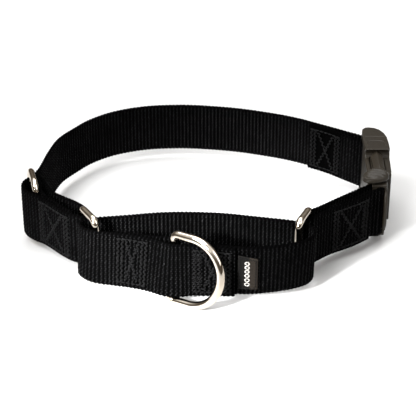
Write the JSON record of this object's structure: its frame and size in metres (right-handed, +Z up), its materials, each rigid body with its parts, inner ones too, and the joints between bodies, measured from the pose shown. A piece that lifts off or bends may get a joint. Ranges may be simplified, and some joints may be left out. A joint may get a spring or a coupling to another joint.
{
  "type": "martingale collar",
  "caption": "Dog collar of flat webbing with a sliding control loop, two wire rings, a D-ring, a slide adjuster and a side-release buckle.",
  "frame": {"origin": "centre of the collar's box in plan, on the surface that the collar stands on", "axes": "+X to the buckle, -Y to the control loop and D-ring, +Z up along the webbing's width"},
  "size_m": [0.1748, 0.1518, 0.0343],
  "materials": {
    "webbing": "black woven nylon webbing",
    "thread": "black bonded thread",
    "nickel": "polished nickel plate",
    "buckle_plastic": "moulded acetal",
    "label": "woven tag"
  },
  "bodies": {
    "neck": {"neck_strap": "webbing", "buckle_socket": "buckle_plastic", "neck_buckle_stitch": "thread"},
    "adjuster": {"adjuster_loop": "webbing", "slide_frame": "nickel", "slide_centre_bar": "nickel", "adjuster_stitch": "thread"},
    "left_ring": {"ring_left": "nickel"},
    "loop": {"control_loop": "webbing", "label": "label", "label_stitch": "thread", "loop_stitch_left": "thread", "loop_stitch_right": "thread"},
    "d_ring": {"d_ring": "nickel"},
    "plug": {"buckle_plug": "buckle_plastic"},
    "top_prong": {"prong_top": "buckle_plastic"},
    "bottom_prong": {"prong_bottom": "buckle_plastic"},
    "strap": {"buckle_strap": "webbing", "buckle_strap_stitch": "thread"},
    "right_ring": {"ring_right": "nickel"}
  },
  "joints": [
    {"name": "cinch", "type": "hinge", "parent": "neck", "child": "adjuster", "pos_m": [-0.0813, 0.0027, 0.017], "axis": [0, 0, 1], "range_deg": [0, 25]},
    {"name": "left_ring_turn", "type": "hinge", "parent": "adjuster", "child": "left_ring", "pos_m": [-0.057, -0.0354, 0.017], "axis": [0, 0, 1], "range_deg": [-25, 0]},
    {"name": "loop_turn", "type": "hinge", "parent": "left_ring", "child": "loop", "pos_m": [-0.05, -0.0475, 0.017], "axis": [0, 0, 1], "range_deg": [-14.3, 0]},
    {"name": "d_ring_swing", "type": "hinge", "parent": "loop", "child": "d_ring", "pos_m": [-0.0159, -0.0609, 0.017], "axis": [0.0687, 0.1736, 0.9824], "range_deg": [-120, 1]},
    {"name": "buckle_release", "type": "slide", "parent": "neck", "child": "plug", "axis": [0, 1, 0], "range_m": [-0.022, 0]},
    {"name": "top_prong_squeeze", "type": "hinge", "parent": "plug", "child": "top_prong", "pos_m": [0.0785, -0.0108, 0.032], "axis": [1, 0, 0], "range_deg": [-7.7, 0]},
    {"name": "bottom_prong_squeeze", "type": "hinge", "parent": "plug", "child": "bottom_prong", "pos_m": [0.0785, -0.0108, 0.002], "axis": [-1, 0, 0], "range_deg": [-7.7, 0]},
    {"name": "buckle_strap_turn", "type": "hinge", "parent": "plug", "child": "strap", "pos_m": [0.0783, -0.0102, 0.017], "axis": [0, 0, 1], "range_deg": [-30, 0]},
    {"name": "right_ring_turn", "type": "hinge", "parent": "strap", "child": "right_ring", "pos_m": [0.0455, -0.0362, 0.017], "axis": [0, 0, 1], "range_deg": [0, 30]}
  ],
  "couplings": [
    {"joint": "left_ring_turn", "follows": "cinch", "ratio": -1},
    {"joint": "buckle_strap_turn", "follows": "cinch", "ratio": -1.2},
    {"joint": "right_ring_turn", "follows": "cinch", "ratio": 1.2},
    {"joint": "loop_turn", "follows": "buckle_release", "rad_per_m": 11.3},
    {"joint": "top_prong_squeeze", "follows": "buckle_release", "rad_per_m": 5.9},
    {"joint": "bottom_prong_squeeze", "follows": "buckle_release", "rad_per_m": 5.9}
  ]
}
